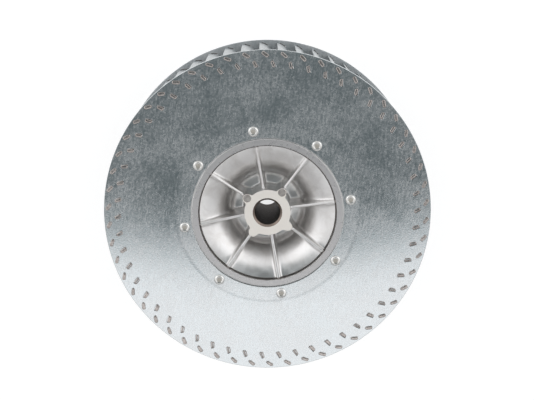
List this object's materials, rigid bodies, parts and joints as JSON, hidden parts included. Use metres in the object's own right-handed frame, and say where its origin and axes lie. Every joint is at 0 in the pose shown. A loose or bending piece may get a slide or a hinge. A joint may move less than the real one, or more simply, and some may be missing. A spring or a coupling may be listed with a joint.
{
  "type": "centrifugal blower wheel",
  "caption": "Drum-shaped blower wheel: forward-curved sheet blades tabbed through a closed back plate and an inlet ring, riveted to a ribbed cast hub with a through bore.",
  "frame": {"origin": "on the shaft axis, at the plane of the blade tabs under the inlet ring that the wheel stands on", "axes": "+Z along the shaft axis, from the inlet ring to the back plate; +X and +Y across the wheel"},
  "size_m": [0.28, 0.28, 0.0994],
  "materials": {
    "galvanised_sheet": "galvanised sheet, lightly scuffed",
    "blade_sheet": "galvanised sheet, rolled",
    "cast_aluminium": "as cast, boss and rim turned",
    "rivet_aluminium": "bright, pressed",
    "blackened_steel": "blackened"
  },
  "bodies": {
    "root": {"back_plate": "galvanised_sheet", "inlet_ring": "galvanised_sheet", "hub": "cast_aluminium", "rivets": "rivet_aluminium", "set_screw": "blackened_steel", "blade_01": "blade_sheet", "blade_02": "blade_sheet", "blade_03": "blade_sheet", "blade_04": "blade_sheet", "blade_05": "blade_sheet", "blade_06": "blade_sheet", "blade_07": "blade_sheet", "blade_08": "blade_sheet", "blade_09": "blade_sheet", "blade_10": "blade_sheet", "blade_11": "blade_sheet", "blade_12": "blade_sheet", "blade_13": "blade_sheet", "blade_14": "blade_sheet", "blade_15": "blade_sheet", "blade_16": "blade_sheet", "blade_17": "blade_sheet", "blade_18": "blade_sheet", "blade_19": "blade_sheet", "blade_20": "blade_sheet", "blade_21": "blade_sheet", "blade_22": "blade_sheet", "blade_23": "blade_sheet", "blade_24": "blade_sheet", "blade_25": "blade_sheet", "blade_26": "blade_sheet", "blade_27": "blade_sheet", "blade_28": "blade_sheet", "blade_29": "blade_sheet", "blade_30": "blade_sheet", "blade_31": "blade_sheet", "blade_32": "blade_sheet", "blade_33": "blade_sheet", "blade_34": "blade_sheet", "blade_35": "blade_sheet", "blade_36": "blade_sheet", "blade_37": "blade_sheet", "blade_38": "blade_sheet", "blade_39": "blade_sheet", "blade_40": "blade_sheet", "blade_41": "blade_sheet", "blade_42": "blade_sheet", "blade_43": "blade_sheet", "blade_44": "blade_sheet", "blade_45": "blade_sheet", "blade_46": "blade_sheet", "blade_47": "blade_sheet", "blade_48": "blade_sheet", "blade_49": "blade_sheet", "blade_50": "blade_sheet", "blade_51": "blade_sheet", "blade_52": "blade_sheet", "blade_53": "blade_sheet", "blade_54": "blade_sheet"}
  },
  "joints": []
}
